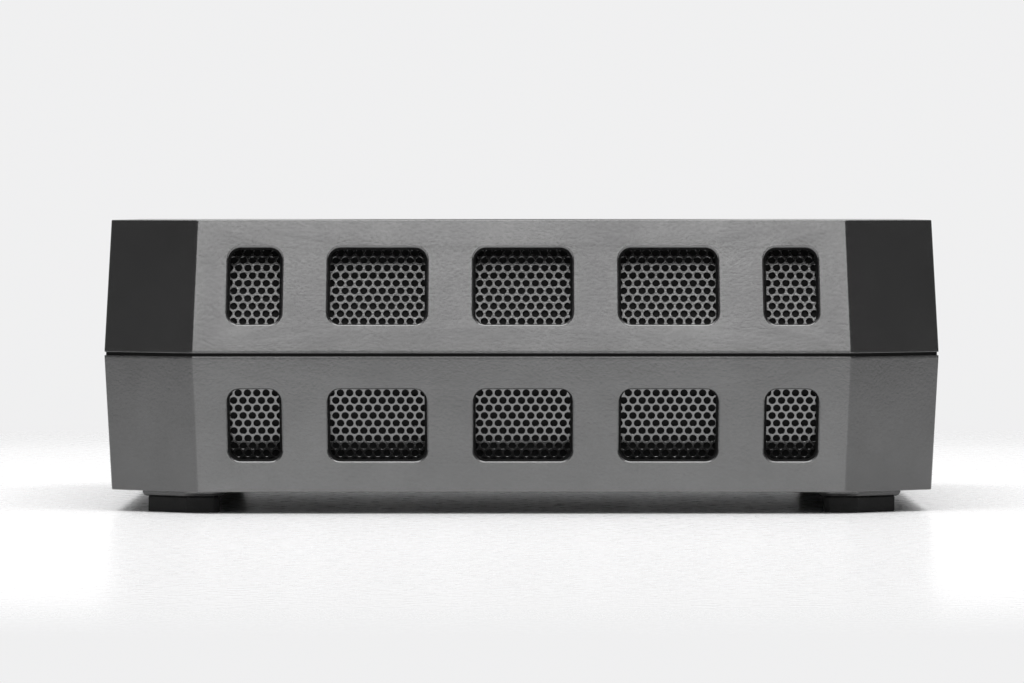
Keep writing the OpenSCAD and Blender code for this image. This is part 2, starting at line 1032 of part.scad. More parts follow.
module radio_card() {
  color(board_green)
    translate([radio_x, radio_y, ssd_z])
      card(radio_len, [[-22, -8, -7, 8]]);
}

// Two strip antennas on the inside of the rear corner facets
module antennas() {
  color(brass)
    for (i = [0, 1])
      mirror([i, 0, 0])
        rotate([0, 0, 45])
          translate([111.6, -3.7 - 11, roof_z + 2])
            cube([0.8, 22, 8]);
}

module antenna_leads() {
  color(near_black)
    for (i = [0, 1])
      mirror([i, 0, 0])
        tube(
          smooth([
            [78.6, 78.4, 40], [72, 76, 38], [60, 62, 33], [56 - 2 * i, 61, 22], [54, 61, 15],
            [53, 61, 14.5]
          ]),
          0.7
        );
}

module coin_cell_holder() {
  color(near_black)
    translate([cell_x, cell_y, pcb_top])
      difference() {
        cylinder(r = 11.2, h = 2.6);
        translate([0, 0, 0.9])
          cylinder(r = 10.1, h = 5);
      }
}

module coin_cell() {
  color(steel)
    translate([cell_x, cell_y, pcb_top + 0.9])
      union() {
        cylinder(r = 10, h = 2.7);
        cylinder(r = 8.6, h = 3.2);
      }
}

module chipset_heatsink() {
  color(near_black)
    translate([0, 50, pcb_top])
      union() {
        block([-13, -10, 0], [13, 10, 2]);
        for (i = [-4:4])
          block([i * 3 - 0.6, -10, 1.9], [i * 3 + 0.6, 10, 7.4]);
      }
}

module inductors() {
  color([0.25, 0.25, 0.27])
    for (y = [-28:10:22])
      block([23.5, y - 3.4, pcb_top], [30.3, y + 3.4, pcb_top + 4.2]);
}

module capacitors() {
  color(steel)
    for (y = [-28:8:28])
      translate([-26, y, pcb_top])
        cylinder(r = 3.1, h = 4.4);
}

module rear_io_plate() {
  gap = 0.25;
  color(steel)
    difference() {
      block([-71, plate_y, 10.8], [71, plate_y + plate_t, 32]);
      for (x = rear_usb_x)
        block([x - 7.2 - gap, 80, pcb_top - gap], [x + 7.2 + gap, 90, pcb_top + 15.6 + gap]);
      for (x = lan_x)
        block([x - 8 - gap, 80, pcb_top - gap], [x + 8 + gap, 90, pcb_top + 13.4 + gap]);
      block([dc_x - 4.6 - gap, 80, pcb_top - gap], [dc_x + 4.6 + gap, 90, pcb_top + 11 + gap]);
      for (x = [hdmi_x, dp_x])
        block([x - 8.6 - gap, 80, pcb_top - gap], [x + 8.6 + gap, 90, pcb_top + 7 + gap]);
      translate([reset_x, 90, reset_z])
        face_front()
          cylinder(r = reset_r + 0.06, h = 10);
    }
}

module dc_inlet() {
  color(near_black)
    union() {
      difference() {
        block([dc_x - 4.6, rear_face_y - 14, pcb_top], [dc_x + 4.6, rear_face_y, pcb_top + 11]);
        translate([dc_x, rear_face_y + 1, pcb_top + 5.5])
          face_front()
            cylinder(r = 3.1, h = 11);
      }
      translate([dc_x, rear_face_y - 1.5, pcb_top + 5.5])
        face_front()
          cylinder(r = 1.25, h = 9);
    }
}

// Video socket facing +Z with the outline given, its mouth at the origin
module video_socket(points, tongue_w, tongue_y) {
  depth = 12;
  difference() {
    translate([-8.6, -3.5, -depth])
      cube([17.2, 7, depth]);
    translate([0, 0, 1 - depth])
      linear_extrude(depth)
        polygon(points);
  }
  translate([-tongue_w / 2, tongue_y, 0.5 - depth])
    cube([tongue_w, 1, depth - 2]);
}

module video_sockets() {
  color(steel)
    for (x = [hdmi_x, dp_x])
      translate([x, rear_face_y, pcb_top + 3.5])
        rotate([-90, 0, 0])
          mirror([0, 1, 0])
            if (x == hdmi_x)
              video_socket(
                [[-7, 2.3], [7, 2.3], [7, -0.6], [5.2, -2.3], [-5.2, -2.3], [-7, -0.6]], 11, 0
              );
            else
              video_socket([[-8, 2.4], [8, 2.4], [8, -2.4], [-6.2, -2.4], [-8, -0.8]], 12.6, -0.2);
}

// Network socket facing +Y with its latch notch at the bottom
module ethernet_sockets() {
  color(steel)
    for (x = lan_x)
      difference() {
        block([x - 8, rear_face_y - 21, pcb_top], [x + 8, rear_face_y, pcb_top + 13.4]);
        block([x - 5.95, rear_face_y - 12, pcb_top + 4], [x + 5.95, 90, pcb_top + 11.4]);
        block([x - 3.1, rear_face_y - 12, pcb_top + 2.4], [x + 3.1, 90, pcb_top + 5]);
        block([x - 1.7, rear_face_y - 12, pcb_top + 1.3], [x + 1.7, 90, pcb_top + 3]);
      }
}

module rear_usb_sockets() {
  depth = 17.5;
  color(steel)
    for (x = rear_usb_x)
      translate([x, rear_face_y, pcb_top])
        rotate([-90, 0, 0])
          mirror([0, 1, 0])
            union() {
              difference() {
                translate([-7.2, 0, -depth])
                  cube([14.4, 15.6, depth]);
                for (y = [4, 11.6])
                  translate([0, y, 1 - depth])
                    rounded_block(12.5, 5.1, depth, 0.3);
              }
              for (y = [4, 11.6])
                translate([-5.6, y + 0.05, 0.5 - depth])
                  cube([11.2, 1.9, depth - 1.7]);
            }
}

module reset_button() {
  color([0.5, 0.1, 0.1])
    translate([reset_x, plate_y + plate_t + 0.5, reset_z])
      face_front() {
        cylinder(r = reset_r, h = plate_y + plate_t + 0.5 - reset_switch_y - reset_gap);
        translate([0, 0, 1.3])
          cylinder(r = reset_r + 0.8, h = 1);
      }
}

lower_shell();
upper_shell();
waist_band();
fan_grille();
side_mesh_upper_left();
side_mesh_upper_right();
side_mesh_lower_left();
side_mesh_lower_right();
front_mesh();
rear_mesh();
foot_brackets();
rubber_feet();
case_screws();
case_inserts();
front_bezel();
power_button();
power_light_ring();
tact_switches();
front_io_board();
front_usb_left();
front_usb_right();
front_usb_c();
audio_jack();
front_cable();
motherboard();
board_standoffs();
board_screws();
processor();
cold_plate();
heat_pipes();
fin_stack();
cooler_screws();
cooler_springs();
fan_frame();
fan_stator();
fan_bearing();
fan_rotor();
fan_shaft();
fan_screws();
fan_lead();
memory_socket_left();
memory_socket_right();
memory_module_left();
memory_module_right();
card_sockets();
solid_state_drive();
radio_card();
antennas();
antenna_leads();
coin_cell_holder();
coin_cell();
chipset_heatsink();
inductors();
capacitors();
rear_io_plate();
dc_inlet();
video_sockets();
ethernet_sockets();
rear_usb_sockets();
reset_button();
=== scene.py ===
"""Looks of the eight-sided mini PC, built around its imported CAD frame.

Shapes are worked out in millimetres in the row frame (+Z up, front towards -Y, right side +X)
and scaled to metres when a piece is finished.
"""

import json
import math

import bmesh
import bpy
from mathutils import Matrix, Vector

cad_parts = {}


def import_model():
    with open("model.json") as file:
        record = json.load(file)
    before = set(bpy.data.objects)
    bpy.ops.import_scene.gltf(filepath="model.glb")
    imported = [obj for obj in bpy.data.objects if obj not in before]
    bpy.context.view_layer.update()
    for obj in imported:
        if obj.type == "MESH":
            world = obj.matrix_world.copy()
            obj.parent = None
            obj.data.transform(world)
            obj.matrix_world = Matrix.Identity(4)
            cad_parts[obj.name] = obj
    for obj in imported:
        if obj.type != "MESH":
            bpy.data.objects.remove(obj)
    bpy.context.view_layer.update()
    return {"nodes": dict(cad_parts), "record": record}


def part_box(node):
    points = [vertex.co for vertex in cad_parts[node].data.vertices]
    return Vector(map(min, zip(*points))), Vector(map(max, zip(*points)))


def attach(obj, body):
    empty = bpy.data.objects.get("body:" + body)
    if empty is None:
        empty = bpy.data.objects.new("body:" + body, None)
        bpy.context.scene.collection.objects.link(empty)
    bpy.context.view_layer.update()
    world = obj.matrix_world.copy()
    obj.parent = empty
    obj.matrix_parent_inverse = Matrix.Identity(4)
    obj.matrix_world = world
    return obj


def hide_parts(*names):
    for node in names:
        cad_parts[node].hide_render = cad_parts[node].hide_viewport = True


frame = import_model()

MM = 0.001
CASE = "case"


def edges_mm(node):
    """Lowest and highest corner of a CAD node, in millimetres."""
    low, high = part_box(node)
    return [c / MM for c in low], [c / MM for c in high]


LOWER_LOW, LOWER_HIGH = edges_mm("lower_shell")
UPPER_LOW, UPPER_HIGH = edges_mm("upper_shell")
HALF_W = UPPER_HIGH[0]
HALF_D = UPPER_HIGH[1]
BOTTOM_Z = LOWER_LOW[2]
WAIST_Z = LOWER_HIGH[2]
ROOF_Z = UPPER_LOW[2]
TOP_Z = UPPER_HIGH[2]

# Shell
CHAMFER = 19.0
TAPER = 0.983
WALL = 2.0
CORNER_R = 1.3
RIM_FILLET = 0.1
ROLL_LENGTH = 0.6
ROLL_DEPTH = 0.02
CAP_FILLET = 0.2
EDGE_FILLET = 0.5
DRAFT = 0.4

# Windows: middle height and height of each row, and the widths and places along it
WIN_UP = (47.9, 17.0)
WIN_LOW = (18.7, 16.1)
WIN_WIDE = 21.7
WIN_NARROW = 12.2
WIN_PITCH = 30.6
WIN_END = 56.4
WIN_SHIFT = 0.3
WIN_R = 3.0
END_STRETCH = (HALF_W - CHAMFER) / (HALF_D - CHAMFER)

# Perforated sheets
HOLE_PITCH = 1.955
HOLE_R = 0.75
SHEET_T = 0.4
SHEET_TILT = math.radians(18.6)
SHEET_GAP = 2.1
SHEET_START = 4.7
SHEET_RISE = 20.4
SHEET_SPAN = 64.4
SHEET_CORNER = 0.5
# Near-black film behind each sheet, which paints the shade inside the body: its gap, thickness and margin
FILM_GAP = 0.1
FILM_T = 0.1
FILM_MARGIN = 0.5
FIRST_ROW_UP = 2.1
FIRST_ROW_LOW = 1.45

# Faces of the outline, counted from the right side in steps of 45 degrees
RIGHT, REAR, LEFT, FRONT = 0, 2, 4, 6


# ---------------------------------------------------------------- outlines

def octagon(scale=1.0):
    """Corners of the body's outline, anticlockwise from the right side."""
    a, b, c = HALF_W, HALF_D, CHAMFER
    points = [
        (a, c - b), (a, b - c), (a - c, b), (c - a, b),
        (-a, b - c), (-a, c - b), (c - a, -b), (a - c, -b),
    ]
    return [(x * scale, y * scale) for x, y in points]


def body_scale(z):
    """Size of the outline at height z against the waist."""
    if z <= WAIST_Z:
        return TAPER + (1 - TAPER) * (z - BOTTOM_Z) / (WAIST_Z - BOTTOM_Z)
    return 1 - (1 - TAPER) * max(0.0, z - ROOF_Z) / (TOP_Z - ROOF_Z)


def edge_normals(poly):
    """Outward normal angle of each edge of a convex anticlockwise outline."""
    angles = []
    for i, (x0, y0) in enumerate(poly):
        x1, y1 = poly[(i + 1) % len(poly)]
        angles.append(math.atan2(-(x1 - x0), y1 - y0))
    return angles


def inset(poly, d):
    """A convex outline moved in by d."""
    normals = edge_normals(poly)
    moved = []
    for i, (x, y) in enumerate(poly):
        a, b = normals[i - 1], normals[i]
        nx, ny = math.cos(a) + math.cos(b), math.sin(a) + math.sin(b)
        share = d / (1 + math.cos(a - b))
        moved.append((x - nx * share, y - ny * share))
    return moved


def rounded(poly, r, steps=4):
    """A convex outline with its corners rounded to radius r, steps segments to a corner."""
    normals = edge_normals(poly)
    points = []
    for i, (x, y) in enumerate(inset(poly, r)):
        a, b = normals[i - 1], normals[i]
        turn = (b - a) % (2 * math.pi)
        for k in range(steps + 1):
            angle = a + turn * k / steps
            points.append((x + r * math.cos(angle), y + r * math.sin(angle)))
    return points


def rectangle(w, h, x=0.0, y=0.0):
    """Corners of a rectangle, anticlockwise, about its middle x, y."""
    left, right, low, high = x - w / 2, x + w / 2, y - h / 2, y + h / 2
    return [(left, low), (right, low), (right, high), (left, high)]


def round_rectangle(w, h, r, x=0.0, y=0.0, steps=6):
    return rounded(rectangle(w, h, x, y), r, steps)


def circle(r, x=0.0, y=0.0, steps=48):
    return [
        (x + r * math.cos(2 * math.pi * k / steps), y + r * math.sin(2 * math.pi * k / steps))
        for k in range(steps)
    ]


def quarter_turn(steps):
    """Sine and cosine of the angles from 0 to 90 degrees, for fillets."""
    angles = [math.pi / 2 * k / steps for k in range(steps + 1)]
    return [(math.sin(a), math.cos(a)) for a in angles]


# ---------------------------------------------------------------- mesh building

SAME_PLACE = 1e-4
SMOOTH_ANGLE = math.radians(32)


class Piece:
    """A mesh in the making. Faces take the material index that is current."""

    def __init__(self):
        self.bm = bmesh.new()
        self.mat = 0

    def loop(self, points):
        return [self.bm.verts.new(p) for p in points]

    def face(self, verts):
        f = self.bm.faces.new(verts)
        f.material_index = self.mat
        return f

    def strip(self, a, b):
        """Quads between two closed loops of the same length."""
        n = len(a)
        for i in range(n):
            j = (i + 1) % n
            self.face((a[i], a[j], b[j], b[i]))

    def fill(self, loops, normal):
        """Fills the flat region between the first loop and the loops inside it."""
        edges = []
        for ring in loops:
            for i, v in enumerate(ring):
                w = ring[(i + 1) % len(ring)]
                edge = self.bm.edges.get((v, w)) or self.bm.edges.new((v, w))
                edges.append(edge)
        made = bmesh.ops.triangle_fill(
            self.bm, use_beauty=True, use_dissolve=False, edges=edges, normal=normal)
        for f in made["geom"]:
            if isinstance(f, bmesh.types.BMFace):
                f.material_index = self.mat

    def stack(self, rings, place):
        """A solid through rings of 2D points at heights: rings is [(points, height), ...].
        place turns (x, y, height) into a 3D point."""
        loops = [self.loop([place(x, y, h) for x, y in points]) for points, h in rings]
        for a, b in zip(loops, loops[1:]):
            self.strip(a, b)
        self.face(list(reversed(loops[0])))
        self.face(loops[-1])

    def prism(self, poly, low, high, place, corner, edge, steps=3):
        """An extruded convex outline with its corners rounded to radius corner and its rims
        filleted to radius edge."""
        def level(d, height):
            return rounded(inset(poly, d), corner - d, steps), height

        rings = [level(edge * (1 - sin), low + edge * (1 - cos)) for sin, cos in quarter_turn(steps)]
        rings += [level(edge * (1 - cos), high - edge * (1 - sin)) for sin, cos in quarter_turn(steps)]
        self.stack(rings, place)

    def finish(self, name, materials, body=CASE, stands_for=(), weighted=True):
        """Makes the object, in metres, smooth where its faces meet below SMOOTH_ANGLE."""
        bm = self.bm
        bmesh.ops.remove_doubles(bm, verts=bm.verts, dist=SAME_PLACE)
        bmesh.ops.recalc_face_normals(bm, faces=bm.faces)
        bmesh.ops.transform(bm, matrix=Matrix.Scale(MM, 4), verts=bm.verts)
        mesh = bpy.data.meshes.new(name)
        bm.to_mesh(mesh)
        bm.free()
        for m in materials:
            mesh.materials.append(m)
        mesh.shade_smooth()
        mesh.set_sharp_from_angle(angle=SMOOTH_ANGLE)
        obj = bpy.data.objects.new(name, mesh)
        bpy.context.scene.collection.objects.link(obj)
        if weighted:
            mod = obj.modifiers.new("even_normals", "WEIGHTED_NORMAL")
            mod.keep_sharp = True
            mod.weight = 90
        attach(obj, body)
        if stands_for:
            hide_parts(*stands_for)
        return obj


def upright(x, y, h):
    """Places 2D points level, at height h."""
    return (x, y, h)


# ---------------------------------------------------------------- materials

def new_material(name, color, roughness, metallic=0.0, **sockets):
    mat = bpy.data.materials.new(name)
    mat.use_nodes = True
    shader = mat.node_tree.nodes["Principled BSDF"]
    shader.inputs["Base Color"].default_value = (*color, 1)
    shader.inputs["Roughness"].default_value = roughness
    shader.inputs["Metallic"].default_value = metallic
    for key, value in sockets.items():
        shader.inputs[key.replace("_", " ")].default_value = value
    return mat


class Nodes:
    """Short hand for adding nodes to a material."""

    def __init__(self, mat):
        self.tree = mat.node_tree
        self.shader = self.tree.nodes["Principled BSDF"]
        coords = self.tree.nodes.new("ShaderNodeTexCoord")
        self.coords = coords.outputs["Object"]

    def link(self, a, b):
        self.tree.links.new(a, b)

    def noise(self, scale, detail, roughness=0.5, stretch=None):
        source = self.coords
        if stretch:
            mapping = self.tree.nodes.new("ShaderNodeMapping")
            mapping.inputs["Scale"].default_value = stretch
            self.link(source, mapping.inputs["Vector"])
            source = mapping.outputs["Vector"]
        node = self.tree.nodes.new("ShaderNodeTexNoise")
        node.inputs["Scale"].default_value = scale
        node.inputs["Detail"].default_value = detail
        node.inputs["Roughness"].default_value = roughness
        self.link(source, node.inputs["Vector"])
        return node.outputs["Fac"]

    def spread(self, value, low, high, source_low=0.3, source_high=0.7):
        node = self.tree.nodes.new("ShaderNodeMapRange")
        node.inputs["From Min"].default_value = source_low
        node.inputs["From Max"].default_value = source_high
        node.inputs["To Min"].default_value = low
        node.inputs["To Max"].default_value = high
        self.link(value, node.inputs["Value"])
        return node.outputs["Result"]

    def blend(self, factor, color_a, color_b):
        node = self.tree.nodes.new("ShaderNodeMix")
        node.data_type = "RGBA"
        for socket, value in ((node.inputs[6], color_a), (node.inputs[7], color_b)):
            if hasattr(value, "is_output"):
                self.link(value, socket)
            else:
                socket.default_value = (*value, 1)
        self.link(factor, node.inputs[0])
        return node.outputs[2]

    def bump(self, height, strength, distance, after=None):
        node = self.tree.nodes.new("ShaderNodeBump")
        node.inputs["Strength"].default_value = strength
        node.inputs["Distance"].default_value = distance
        self.link(height, node.inputs["Height"])
        if after:
            self.link(after, node.inputs["Normal"])
        return node.outputs["Normal"]

    def color(self, value):
        self.link(value, self.shader.inputs["Base Color"])

    def roughness(self, value):
        self.link(value, self.shader.inputs["Roughness"])

    def normal(self, value):
        self.link(value, self.shader.inputs["Normal"])


def tinted(color, gain):
    return tuple(min(1.0, c * gain) for c in color)


# Heights of the unevenness of the finishes, in metres
PAINT_GRAIN = 0.00001
PAINT_PEEL = 0.00002
COATING_GRAIN = 0.00003
SPARK_DEPTH = 0.00003
METAL_MARKS = 0.00003
TRACE_RISE = 0.00002
RUBBER_SKIN = 0.00006


def painted(name, color, roughness, metallic):
    """Sprayed satin paint: fine grain, a softer orange peel, slow cloudiness."""
    mat = new_material(name, color, roughness, metallic)
    n = Nodes(mat)
    fine = n.noise(2600, detail=2)
    waves = n.noise(1500, detail=3, roughness=0.5)
    cloud = n.noise(60, detail=4, roughness=0.6)
    n.color(n.blend(n.spread(cloud, 0, 1), tinted(color, 0.92), tinted(color, 1.08)))
    n.roughness(n.spread(waves, roughness - 0.02, roughness + 0.03))
    n.normal(n.bump(fine, 1.0, PAINT_GRAIN, n.bump(waves, 1.0, PAINT_PEEL)))
    return mat


def moulded(name, color, roughness, grain=0.25):
    """Injection moulded plastic with a fine spark texture."""
    mat = new_material(name, color, roughness)
    n = Nodes(mat)
    spark = n.noise(3800, detail=4, roughness=0.6)
    flow = n.noise(60, detail=2)
    n.color(n.blend(n.spread(flow, 0, 1), tinted(color, 0.88), tinted(color, 1.12)))
    n.roughness(n.spread(spark, roughness - 0.06, roughness + 0.08))
    n.normal(n.bump(spark, grain, SPARK_DEPTH))
    return mat


def matt_black(name, color):
    """Dull black that hardly shines: a coating on the waist band, and painted shade on the inside of the
    body and on the film behind the sheets.
    """
    mat = new_material(name, color, 0.75, Specular_IOR_Level=0.12)
    n = Nodes(mat)
    grain = n.noise(1800, detail=3)
    n.color(n.blend(n.spread(grain, 0, 1), tinted(color, 0.8), tinted(color, 1.3)))
    n.roughness(n.spread(grain, 0.65, 0.85))
    n.normal(n.bump(grain, 1.0, COATING_GRAIN))
    return mat


def metal(name, color, roughness, stretch=(1, 1, 1), scale=1400, grain=0.15):
    """Bare or plated metal with rolled or brushed marks along the small axis of stretch."""
    mat = new_material(name, color, roughness, 1.0)
    n = Nodes(mat)
    marks = n.noise(scale, detail=3, roughness=0.6, stretch=stretch)
    stain = n.noise(90, detail=3)
    n.color(n.blend(n.spread(stain, 0, 1), tinted(color, 0.86), tinted(color, 1.08)))
    n.roughness(n.spread(marks, roughness - 0.07, roughness + 0.1))
    n.normal(n.bump(marks, grain, METAL_MARKS))
    return mat


def circuit_board(name, color):
    """Solder mask with traces showing through as faint lines, and a light weave."""
    mat = new_material(name, color, 0.32, 0.0, Coat_Weight=0.3, Coat_Roughness=0.2)
    n = Nodes(mat)
    cells = n.tree.nodes.new("ShaderNodeTexVoronoi")
    cells.distance = "MANHATTAN"
    cells.feature = "F1"
    cells.inputs["Scale"].default_value = 420
    n.link(n.coords, cells.inputs["Vector"])
    traces = n.spread(cells.outputs["Distance"], 0, 1, 0.42, 0.5)
    weave = n.noise(2600, detail=2)
    n.color(n.blend(traces, color, tinted(color, 1.9)))
    n.roughness(n.spread(weave, 0.26, 0.4))
    n.normal(n.bump(traces, 0.2, TRACE_RISE, n.bump(weave, 0.1, TRACE_RISE)))
    return mat


def rubber(name, color):
    mat = new_material(name, color, 0.82, Specular_IOR_Level=0.35)
    n = Nodes(mat)
    skin = n.noise(2400, detail=4, roughness=0.65)
    dust = n.noise(160, detail=4)
    n.color(n.blend(n.spread(dust, 0, 1), tinted(color, 0.8), tinted(color, 1.5)))
    n.roughness(n.spread(skin, 0.72, 0.92))
    n.normal(n.bump(skin, 0.35, RUBBER_SKIN))
    return mat


SHELL = (0.139, 0.139, 0.139)
MATERIALS = {
    "shell_paint": painted("shell_paint", SHELL, 0.22, 0.94),
    # Near-black inside of the shells and walls of the windows: painted shade of the inside
    "inner_painted_shade": matt_black("inner_painted_shade", (0.005, 0.005, 0.005)),
    "band_black": matt_black("band_black", (0.004, 0.004, 0.004)),
    "grille_black": painted("grille_black", (0.1, 0.1, 0.1), 0.45, 0.7),
    "sheet_paint": painted("sheet_paint", (0.2, 0.2, 0.2), 0.2, 0.9),
    # Near-black film behind the sheets: painted shade of the inside seen through the holes
    "painted_shade_film": matt_black("painted_shade_film", (0.006, 0.006, 0.006)),
    "foot_rubber": rubber("foot_rubber", (0.014, 0.014, 0.014)),
    "zinc_steel": metal("zinc_steel", (0.6, 0.6, 0.6), 0.3),
    "black_steel": painted("black_steel", (0.06, 0.06, 0.06), 0.4, 0.6),
    "brass": metal("brass", (0.75, 0.55, 0.27), 0.3, (1, 1, 8)),
    "bezel_plastic": moulded("bezel_plastic", (0.012, 0.012, 0.013), 0.16, 0.05),
    "button_plastic": painted("button_plastic", (0.15, 0.15, 0.15), 0.36, 0.8),
    "light_pipe": moulded("light_pipe", (0.7, 0.74, 0.78), 0.35, 0.1),
    "black_plastic": moulded("black_plastic", (0.018, 0.018, 0.018), 0.48),
    "connector_steel": metal("connector_steel", (0.66, 0.65, 0.62), 0.24, (1, 6, 1), 2600, 0.04),
    "circuit_board": circuit_board("circuit_board", (0.008, 0.045, 0.026)),
    "ceramic": moulded("ceramic", (0.035, 0.035, 0.037), 0.5),
    "copper": metal("copper", (0.78, 0.38, 0.24), 0.3, (6, 1, 1)),
    # On the heat pipes, the fin stack and the capacitors these near-black finishes paint the shade inside
    # the body; the pipes are copper
    "black_copper": painted("black_copper", (0.03, 0.03, 0.03), 0.45, 0.6),
    "black_aluminium": painted("black_aluminium", (0.03, 0.03, 0.032), 0.5, 0.5),
    "cable_jacket": moulded("cable_jacket", (0.02, 0.02, 0.02), 0.42),
    "cell_steel": metal("cell_steel", (0.68, 0.68, 0.67), 0.24, (1, 6, 1)),
    "ferrite": moulded("ferrite", (0.09, 0.09, 0.095), 0.6),
    "plate_steel": metal("plate_steel", (0.6, 0.6, 0.59), 0.33, (1, 1, 8)),
    "reset_plastic": moulded("reset_plastic", (0.3, 0.02, 0.015), 0.4),
}


# ---------------------------------------------------------------- shells

def side_direction(face):
    angle = math.radians(45 * face)
    return (math.cos(angle), math.sin(angle)), (-math.sin(angle), math.cos(angle))


def side_point(face, u, z, depth=0.0):
    """A point of a main side at distance u along it and height z, depth inside the surface."""
    (nx, ny), (tx, ty) = side_direction(face)
    reach = (HALF_W if face in (RIGHT, LEFT) else HALF_D) * body_scale(z) - depth
    return (nx * reach + tx * u, ny * reach + ty * u, z)


def window_row(face, row):
    """Openings of one row of five windows: (middle along the side, middle height, w, h, r), each
    with its fillet and draft."""
    middle_z, height = row
    stretch = 1.0 if face in (RIGHT, LEFT) else END_STRETCH
    openings = []
    for i in (-2, -1, 0, 1, 2):
        narrow = abs(i) == 2
        w = (WIN_NARROW if narrow else WIN_WIDE) * stretch
        u = (math.copysign(WIN_END, i) if narrow else i * WIN_PITCH) * stretch + WIN_SHIFT
        openings.append(((u, middle_z, w, height, WIN_R), (EDGE_FILLET, DRAFT)))
    return openings


def opening_loop(piece, face, opening, grow, depth, lift=0.0):
    """Loop of vertices round an opening, grown by grow and depth inside the surface. The sides
    lean in with the taper of the body. lift brings its edge near the waist back out."""
    u, z, w, h, r = opening
    lean = 0.6
    waist_way = math.copysign(1, WAIST_Z - z)
    height = h + 2 * grow + lift
    middle = z + waist_way * lift / 2
    points = []
    for px, pz in round_rectangle(w + 2 * grow, height, max(r + grow, 0.1), u, middle, 8):
        px *= 1 + lean * (body_scale(pz) / body_scale(z) - 1)
        points.append(side_point(face, px, pz, depth))
    return piece.loop(points)


def cut_opening(piece, face, opening, fillet, draft):
    """Walls of an opening, with a fillet outside, a draft that narrows it inwards and a small
    break inside. Returns both rims."""
    loops = [
        opening_loop(piece, face, opening, -fillet * sin, fillet * (1 - cos))
        for sin, cos in quarter_turn(4)
    ]
    piece.mat = 0
    for a, b in zip(loops, loops[1:]):
        piece.strip(a, b)
    inner_break = 0.15
    straight = opening_loop(piece, face, opening, -fillet - draft, WALL - inner_break, draft)
    back = opening_loop(piece, face, opening, -fillet - draft + inner_break, WALL, draft)
    # The straight walls and the inner break take material 1, near-black, which paints the shade on the
    # walls of the window.
    piece.mat = 1
    piece.strip(loops[-1], straight)
    piece.strip(straight, back)
    return loops[0], back


def shell_ring(inset_by, z, r):
    points = rounded(inset(octagon(body_scale(z)), inset_by), r, 4)
    return [(x, y, z) for x, y in points]


def tapered_shell(piece, rim_z, cap_z, openings):
    """Outer and inner skins of one shell, joined at its rim, with openings in its main sides.
    Returns the outer and inner loops that its cap and ceiling start from."""
    way = 1 if cap_z > rim_z else -1
    steps = 3
    levels = []
    for sin, cos in quarter_turn(steps):
        levels.append((ROLL_DEPTH + RIM_FILLET * (1 - sin), rim_z + way * RIM_FILLET * (1 - cos)))
    for k in range(1, steps + 1):
        share = 1 - k / steps
        up = RIM_FILLET + ROLL_LENGTH * (1 - share)
        levels.append((ROLL_DEPTH * share * share, rim_z + way * up))
    wall_level = len(levels) - 1
    for sin, cos in quarter_turn(steps):
        levels.append((CAP_FILLET * (1 - cos), cap_z - way * CAP_FILLET * (1 - sin)))
    outer = [piece.loop(shell_ring(d, z, CORNER_R)) for d, z in levels]
    inner_z = cap_z - way * WALL
    inner = [piece.loop(shell_ring(WALL, z, CORNER_R)) for z in (rim_z, inner_z)]
    per_corner = len(outer[0]) // 8

    def panel(low, high, side, rims):
        """The flat stretch of a side between two rings, with the rims of its openings."""
        a = side * per_corner + per_corner - 1
        b = (a + 1) % len(low)
        ring = [low[a], low[b], high[b], high[a]]
        if rims:
            (nx, ny), _ = side_direction(side)
            piece.fill([ring] + rims, (nx, ny, 0))
        else:
            piece.face(ring)

    rims = {}
    for side, boxes in openings.items():
        rims[side] = [cut_opening(piece, side, box, *edge) for box, edge in boxes]

    def skin(loops, mat, open_level, pick):
        piece.mat = mat
        for level, (low, high) in enumerate(zip(loops, loops[1:])):
            n = len(low)
            for i in range(n):
                side, flat = divmod(i, per_corner)
                if flat == per_corner - 1:
                    here = [pair[pick] for pair in rims.get(side, [])] if level == open_level else []
                    panel(low, high, side, here)
                else:
                    j = (i + 1) % n
                    piece.face((low[i], low[j], high[j], high[i]))

    skin(outer, 0, wall_level, 0)
    # The inner skin takes material 1, near-black, which paints the shade inside the body.
    skin(inner, 1, 0, 1)
    piece.mat = 0
    piece.strip(outer[0], inner[0])
    return outer[-1], inner[-1]


def tube_wall(piece, x, y, r_out, r_in, low, high):
    """An upright tube with square ends."""
    profile = [(r_in, low), (r_out, low), (r_out, high), (r_in, high)]
    loops = [piece.loop([(px, py, z) for px, py in circle(r, x, y, 32)]) for r, z in profile]
    for a, b in zip(loops, loops[1:] + loops[:1]):
        piece.strip(a, b)


def corner_places(x, y):
    return [(i * x, j * y) for i in (-1, 1) for j in (-1, 1)]


# Bosses and screws in the shells: place, radius outside, and radii of the bores for the inserts,
# the screws and the screws' heads
CASE_SCREW = (78.0, 56.0)
BOSS_R = 3.5
INSERT_BORE_R = 2.3
SCREW_BORE_R = 1.7
HEAD_BORE_R = 3.1

# Seat of the round grille, and the air inlet under it
GRILLE_R = 48.0
GRILLE_SEAT_Z = 60.6
GRILLE_EDGE = 0.35
INLET_R = 45.0


